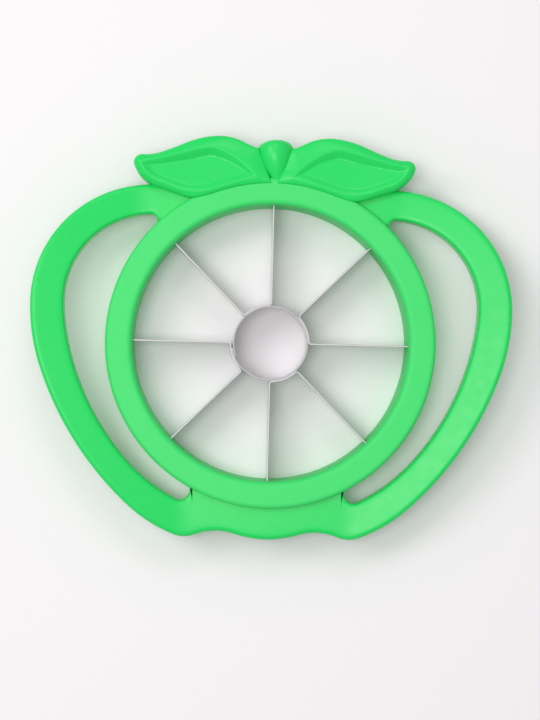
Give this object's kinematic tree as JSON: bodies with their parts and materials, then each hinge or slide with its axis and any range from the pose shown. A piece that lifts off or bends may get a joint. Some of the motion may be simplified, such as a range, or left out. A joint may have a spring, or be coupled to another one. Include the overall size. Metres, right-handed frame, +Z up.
{
  "type": "apple slicer and corer",
  "caption": "Apple-shaped plastic frame with two loop handles that holds a round grid of thin steel blades and a core ring, pressed by hand over an apple.",
  "frame": {"origin": "on the axis of the core ring, in the plane that the base ring stands on", "axes": "+Z up along the core ring, away from the cutting edges; +Y to the leaves; +X to the right-hand handle"},
  "size_m": [0.16, 0.1345, 0.024],
  "materials": {
    "green_plastic": "satin moulded",
    "green_plastic_lower": "satin moulded",
    "blade_steel": "fine ground strip",
    "ring_steel": "fine ground strip"
  },
  "bodies": {
    "root": {"apple_frame": "green_plastic", "base_ring": "green_plastic_lower", "core_ring": "ring_steel", "blade_upper_left": "blade_steel", "blade_upper_right": "blade_steel", "blade_lower_right": "blade_steel", "blade_lower_left": "blade_steel"}
  },
  "joints": []
}
